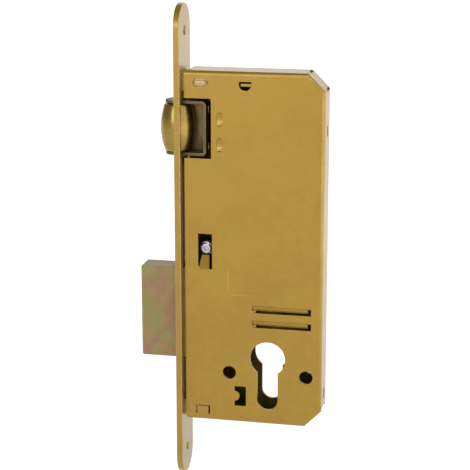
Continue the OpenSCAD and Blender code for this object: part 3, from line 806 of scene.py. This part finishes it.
@dataclass
class RollerLatch:
    """Fork, roller, guide rods and the two springs behind it."""

    axle_x: float = -45.55 * MM
    axle_z: float = 112.1 * MM
    roller_r: float = 8.25 * MM
    end_r: float = 6.15 * MM
    half_h: float = 11.55 * MM
    bore_r: float = 2.08 * MM
    roller_steps: int = 120
    coil_r: float = 2.75 * MM
    wire_r: float = 0.45 * MM
    spring_x: tuple[float, float] = (-30.6 * MM, -5.9 * MM)
    rod_dz: float = 9.2 * MM
    plate_low: tuple[float, float, float] = (-0.0600, 0.0036, 0.0970)
    plate_high: tuple[float, float, float] = (-0.0290, 0.0056, 0.1270)
    turns: int = 9

    def roller(self) -> bpy.types.Object:
        """Spins the barrel-shaped roller from its profile.

        Returns:
            The roller.
        """
        sag = self.roller_r - self.end_r
        barrel = (self.half_h ** 2 + sag ** 2) / (2 * sag)
        lip = 0.7 * MM
        side = []
        for step in range(25):
            h = (self.half_h - lip) * (step / 12.0 - 1.0)
            side.append((self.roller_r - barrel + math.sqrt(barrel ** 2 - h ** 2), h))
        face_r = side[0][0] - 1.15 * MM
        outline = [(self.bore_r + 0.3 * MM, -self.half_h), (face_r, -self.half_h),
                   (side[0][0] - 0.25 * MM, -self.half_h + 0.3 * MM), *side,
                   (side[-1][0] - 0.25 * MM, self.half_h - 0.3 * MM), (face_r, self.half_h),
                   (self.bore_r + 0.3 * MM, self.half_h), (self.bore_r, self.half_h - 0.3 * MM),
                   (self.bore_r, -self.half_h + 0.3 * MM)]
        centre = Vector((self.axle_x, 0, self.axle_z))
        work = spin_profile(outline, centre, Vector((0, 0, 1)), Vector((1, 0, 0)), self.roller_steps)
        add_band_layer(work)
        mark_bands(work, [face for face in work.faces
                          if abs(face.calc_center_median().z - self.axle_z) > self.half_h - lip])
        return link_object("barrel_roller", work, 40.0)

    def spring(self, name: str, z: float) -> bpy.types.Object:
        """Spins a wire's round section into a compression spring with closed ends.

        Args:
            name: the piece's name.
            z: height of the spring's axis.

        Returns:
            The spring.
        """
        x0, x1 = self.spring_x
        centre = Vector((x0 + self.wire_r, 0, z))
        work = bmesh.new()
        ring = bmesh.ops.create_circle(work, cap_ends=False, radius=self.wire_r, segments=14)["verts"]
        bmesh.ops.rotate(work, verts=ring, cent=(0, 0, 0), matrix=Matrix.Rotation(math.pi / 2, 3, "Y"))
        bmesh.ops.rotate(work, verts=ring, cent=(0, 0, 0), matrix=Matrix.Rotation(math.pi / 2, 3, "Z"))
        bmesh.ops.translate(work, verts=ring, vec=centre + Vector((0, 0, self.coil_r)))
        bmesh.ops.contextual_create(work, geom=list({e for v in ring for e in v.link_edges}))
        closed = 2 * self.wire_r * 1.04
        length = x1 - x0 - 2 * self.wire_r
        open_pitch = (length - 2 * closed) / (self.turns - 2)
        geom: list = [*ring, *{e for v in ring for e in v.link_edges}]
        facets = 28
        for pitch, count in ((closed, 1), (open_pitch, self.turns - 2), (closed, 1)):
            steps = facets * count
            made = bmesh.ops.spin(work, geom=geom, cent=centre, axis=(1, 0, 0),
                                  dvec=(pitch / facets, 0, 0), angle=2 * math.pi * count, steps=steps,
                                  use_merge=False, use_duplicate=False)
            geom = made["geom_last"]
            centre = centre + Vector((pitch * count, 0, 0))
        last = [e for e in geom if isinstance(e, bmesh.types.BMEdge)]
        bmesh.ops.contextual_create(work, geom=last)
        bmesh.ops.remove_doubles(work, verts=work.verts, dist=0.001 * MM)
        bmesh.ops.recalc_face_normals(work, faces=work.faces)
        add_band_layer(work)
        return link_object(name, work)

    def build(self) -> list[bpy.types.Object]:
        """Dresses the latch's pieces.

        Returns:
            The shown pieces.
        """
        made = [
            Piece("latch_fork", STRIP, "latch", "latch_steel", 0.16,
                  spared=(Vector(self.plate_low), Vector(self.plate_high))).dress(),
            Piece("roller_axle", ZINC, "latch", "zinc_hardware", 0.25).dress(),
            Piece("guide_rods", BLACKENED, "latch", "blackened_steel", 0.14).dress(),
            Piece("rod_clips", BLACKENED, "latch", "blackened_steel", 0.08).dress(),
            Piece("roller", BRASS, "latch_roller", "roller_brass").dress(self.roller()),
        ]
        for node, side in (("upper_latch_spring", 1), ("lower_latch_spring", -1)):
            coil = self.spring(f"coil_{node}", self.axle_z + side * self.rod_dz)
            piece = Piece(node, WIRE, "lock_case", "spring_wire").dress(coil)
            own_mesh(piece)
            made.append(piece)
        return made


@dataclass
class Deadbolt:
    """Head, tail plate and their rivets."""

    head_ease: float = 0.3
    tail_ease: float = 0.15

    def build(self) -> list[bpy.types.Object]:
        """Dresses the deadbolt's pieces.

        Returns:
            The shown pieces.
        """
        return [
            Piece("deadbolt_head", CHROMATE, "deadbolt", "chromated_steel", self.head_ease, 3).dress(),
            Piece("deadbolt_tail", TAIL, "deadbolt", "tail_steel", self.tail_ease).dress(),
            Piece("deadbolt_rivets", CHROMATE, "deadbolt", "chromated_steel", 0.1).dress(),
            Piece("tail_stud", ZINC, "deadbolt", "zinc_hardware", 0.15).dress(),
        ]


@dataclass
class TumblerSet:
    """Tumbler and its leg spring."""

    leg_root: tuple[float, float, float] = (0.008, 0.0032, 0.0385)
    leg_tip: tuple[float, float, float] = (-0.0014, 0.0032, 0.0317)

    def build(self) -> list[bpy.types.Object]:
        """Dresses the tumbler and its spring.

        Returns:
            The shown pieces.
        """
        leg = ("tumbler_lever", Vector(self.leg_root), Vector(self.leg_tip))
        return [
            Piece("tumbler", TAIL, "tumbler_lever", "tail_steel", 0.15).dress(),
            Piece("tumbler_spring", WIRE, "lock_case", "spring_wire", 0.0, bends=leg).dress(),
        ]


# ----------------------------------------------------------------------- stage


@dataclass
class Studio:
    """Floor, backdrop, lights and camera."""

    eye: tuple[float, float, float] = (0.133608, -0.700567, 0.242817)
    target: tuple[float, float, float] = (-0.017695, 0.0, 0.0598)
    lens: float = 117.2
    floor_z: float = -0.0642
    sweep_hw: float = 3.0
    sweep_front: float = -2.2
    sweep_depth: float = 4.0
    sweep_bend: float = 0.8
    sweep_rise: float = 2.5
    level: float = 0.62
    overhead: float = 0.12
    right_glow: float = 0.62
    left_share: float = 0.45
    floor_front: float = 0.62
    floor_back: float = 0.80
    floor_right: float = 1.05
    lights: tuple[tuple[str, tuple[float, float, float], float, float], ...] = field(default_factory=lambda: (
        ("key_light", (0.25, -0.90, 1.05), 0.6, 3.6),
        ("fill_light", (-0.38, -1.05, 0.36), 0.5, 2.3),
    ))

    def floor(self) -> bpy.types.Object:
        """Makes a pale floor that sweeps up into a backdrop.

        Returns:
            The sweep.
        """
        work = bmesh.new()
        ends = [work.verts.new((x, self.sweep_front, self.floor_z)) for x in (-self.sweep_hw, self.sweep_hw)]
        edge = work.edges.new(ends)
        made = bmesh.ops.extrude_edge_only(work, edges=[edge])["geom"]
        moved = [v for v in made if isinstance(v, bmesh.types.BMVert)]
        bmesh.ops.translate(work, verts=moved, vec=(0, self.sweep_depth, 0))
        rim = [e for e in made if isinstance(e, bmesh.types.BMEdge) and all(v in moved for v in e.verts)]
        bend = (0, self.sweep_front + self.sweep_depth, self.floor_z + self.sweep_bend)
        spun = bmesh.ops.spin(work, geom=moved + rim, cent=bend, axis=(1, 0, 0), dvec=(0, 0, 0),
                              angle=math.pi / 2, steps=24, use_merge=False, use_duplicate=False)
        top = [e for e in spun["geom_last"] if isinstance(e, bmesh.types.BMEdge)]
        made = bmesh.ops.extrude_edge_only(work, edges=top)["geom"]
        raised = [v for v in made if isinstance(v, bmesh.types.BMVert)]
        bmesh.ops.translate(work, verts=raised, vec=(0, 0, self.sweep_rise))
        bmesh.ops.recalc_face_normals(work, faces=work.faces)
        sweep = link_object("pale_sweep", work, 60.0)
        sweep.data.materials.append(self.paint())
        return sweep

    def paint(self) -> bpy.types.Material:
        """Makes the sweep's pale paint: white to the camera, and a soft box of graded light to the lock.

        Returns:
            The paint.
        """
        made = bpy.data.materials.new("Pale sweep")
        made.use_nodes = True
        graph = Graph(made.node_tree)
        shader = made.node_tree.nodes["Principled BSDF"]
        shader.inputs["Base Color"].default_value = (0.3, 0.3, 0.3, 1.0)
        shader.inputs["Roughness"].default_value = 0.9
        shader.inputs["Emission Color"].default_value = (1.0, 1.0, 1.0, 1.0)
        split = graph.add("ShaderNodeSeparateXYZ")
        graph.feed(split.inputs[0], graph.add("ShaderNodeTexCoord").outputs["Object"])
        depth = graph.spread(split.outputs[1], -0.1, 0.4, self.floor_front, self.floor_back)
        right = graph.maths("MULTIPLY", graph.spread(split.outputs[0], 0.22, 0.5),
                            graph.spread(split.outputs[1], 0.05, 0.35, self.floor_right, 0.0))
        seen = graph.add("ShaderNodeLightPath").outputs["Is Camera Ray"]
        graph.feed(shader.inputs["Emission Strength"],
                   graph.maths("MAXIMUM", graph.maths("ADD", depth, right), seen))
        return made

    def surroundings(self) -> bpy.types.World:
        """Makes the room's soft light: dim above and at the left, brighter at the right, white if seen.

        Returns:
            The world.
        """
        world = bpy.data.worlds.new("Soft studio")
        world.use_nodes = True
        graph = Graph(world.node_tree)
        back = world.node_tree.nodes["Background"]
        back.inputs["Color"].default_value = (1.0, 1.0, 1.0, 1.0)
        split = graph.add("ShaderNodeSeparateXYZ")
        graph.feed(split.inputs[0], graph.add("ShaderNodeTexCoord").outputs["Generated"])
        height = graph.spread(split.outputs[2], 0.3, 0.8, self.level, self.overhead)
        left = graph.spread(split.outputs[0], -0.8, -0.1, self.left_share, 1.0)
        right = graph.spread(split.outputs[0], 0.3, 0.9, 0.0, self.right_glow)
        light = graph.maths("ADD", graph.maths("MULTIPLY", height, left), right)
        seen = graph.add("ShaderNodeLightPath").outputs["Is Camera Ray"]
        graph.feed(back.inputs["Strength"], graph.maths("MAXIMUM", light, seen))
        return world

    def light(self, name: str, place: tuple[float, float, float], size: float, power: float) -> None:
        """Adds one square soft light aimed at the lock.

        Args:
            name: the light's name.
            place: where it stands.
            size: its side.
            power: its power in watts.
        """
        lamp = bpy.data.lights.new(name, "AREA")
        lamp.shape = "SQUARE"
        lamp.size = size
        lamp.energy = power
        holder = bpy.data.objects.new(name, lamp)
        holder.location = place
        holder.rotation_mode = "QUATERNION"
        holder.rotation_quaternion = (Vector(self.target) - Vector(place)).to_track_quat("-Z", "Y")
        bpy.context.scene.collection.objects.link(holder)

    def build(self) -> None:
        """Sets up the floor, lights, room and camera."""
        scene = bpy.context.scene
        self.floor()
        for name, place, size, power in self.lights:
            self.light(name, place, size, power)
        scene.world = self.surroundings()
        scene.view_settings.view_transform = "Standard"
        lens = bpy.data.cameras.new("studio_camera")
        lens.sensor_width = 36.0
        lens.lens = self.lens
        camera = bpy.data.objects.new("studio_camera", lens)
        camera.location = self.eye
        camera.rotation_mode = "QUATERNION"
        camera.rotation_quaternion = (Vector(self.target) - Vector(self.eye)).to_track_quat("-Z", "Y")
        scene.collection.objects.link(camera)
        scene.camera = camera


def main() -> None:
    """Builds the lock's looks and the studio, and reports each piece."""
    logging.basicConfig(level=logging.INFO, format="%(name)s: %(message)s")
    count = 0
    for part in (CaseShell(), RollerLatch(), Deadbolt(), TumblerSet()):
        made = part.build()
        count += len(made)
        LOG.info("%s: %d pieces", type(part).__name__, len(made))
    Studio().build()
    LOG.info("%d pieces shown", count)


if __name__ == "__main__":
    main()
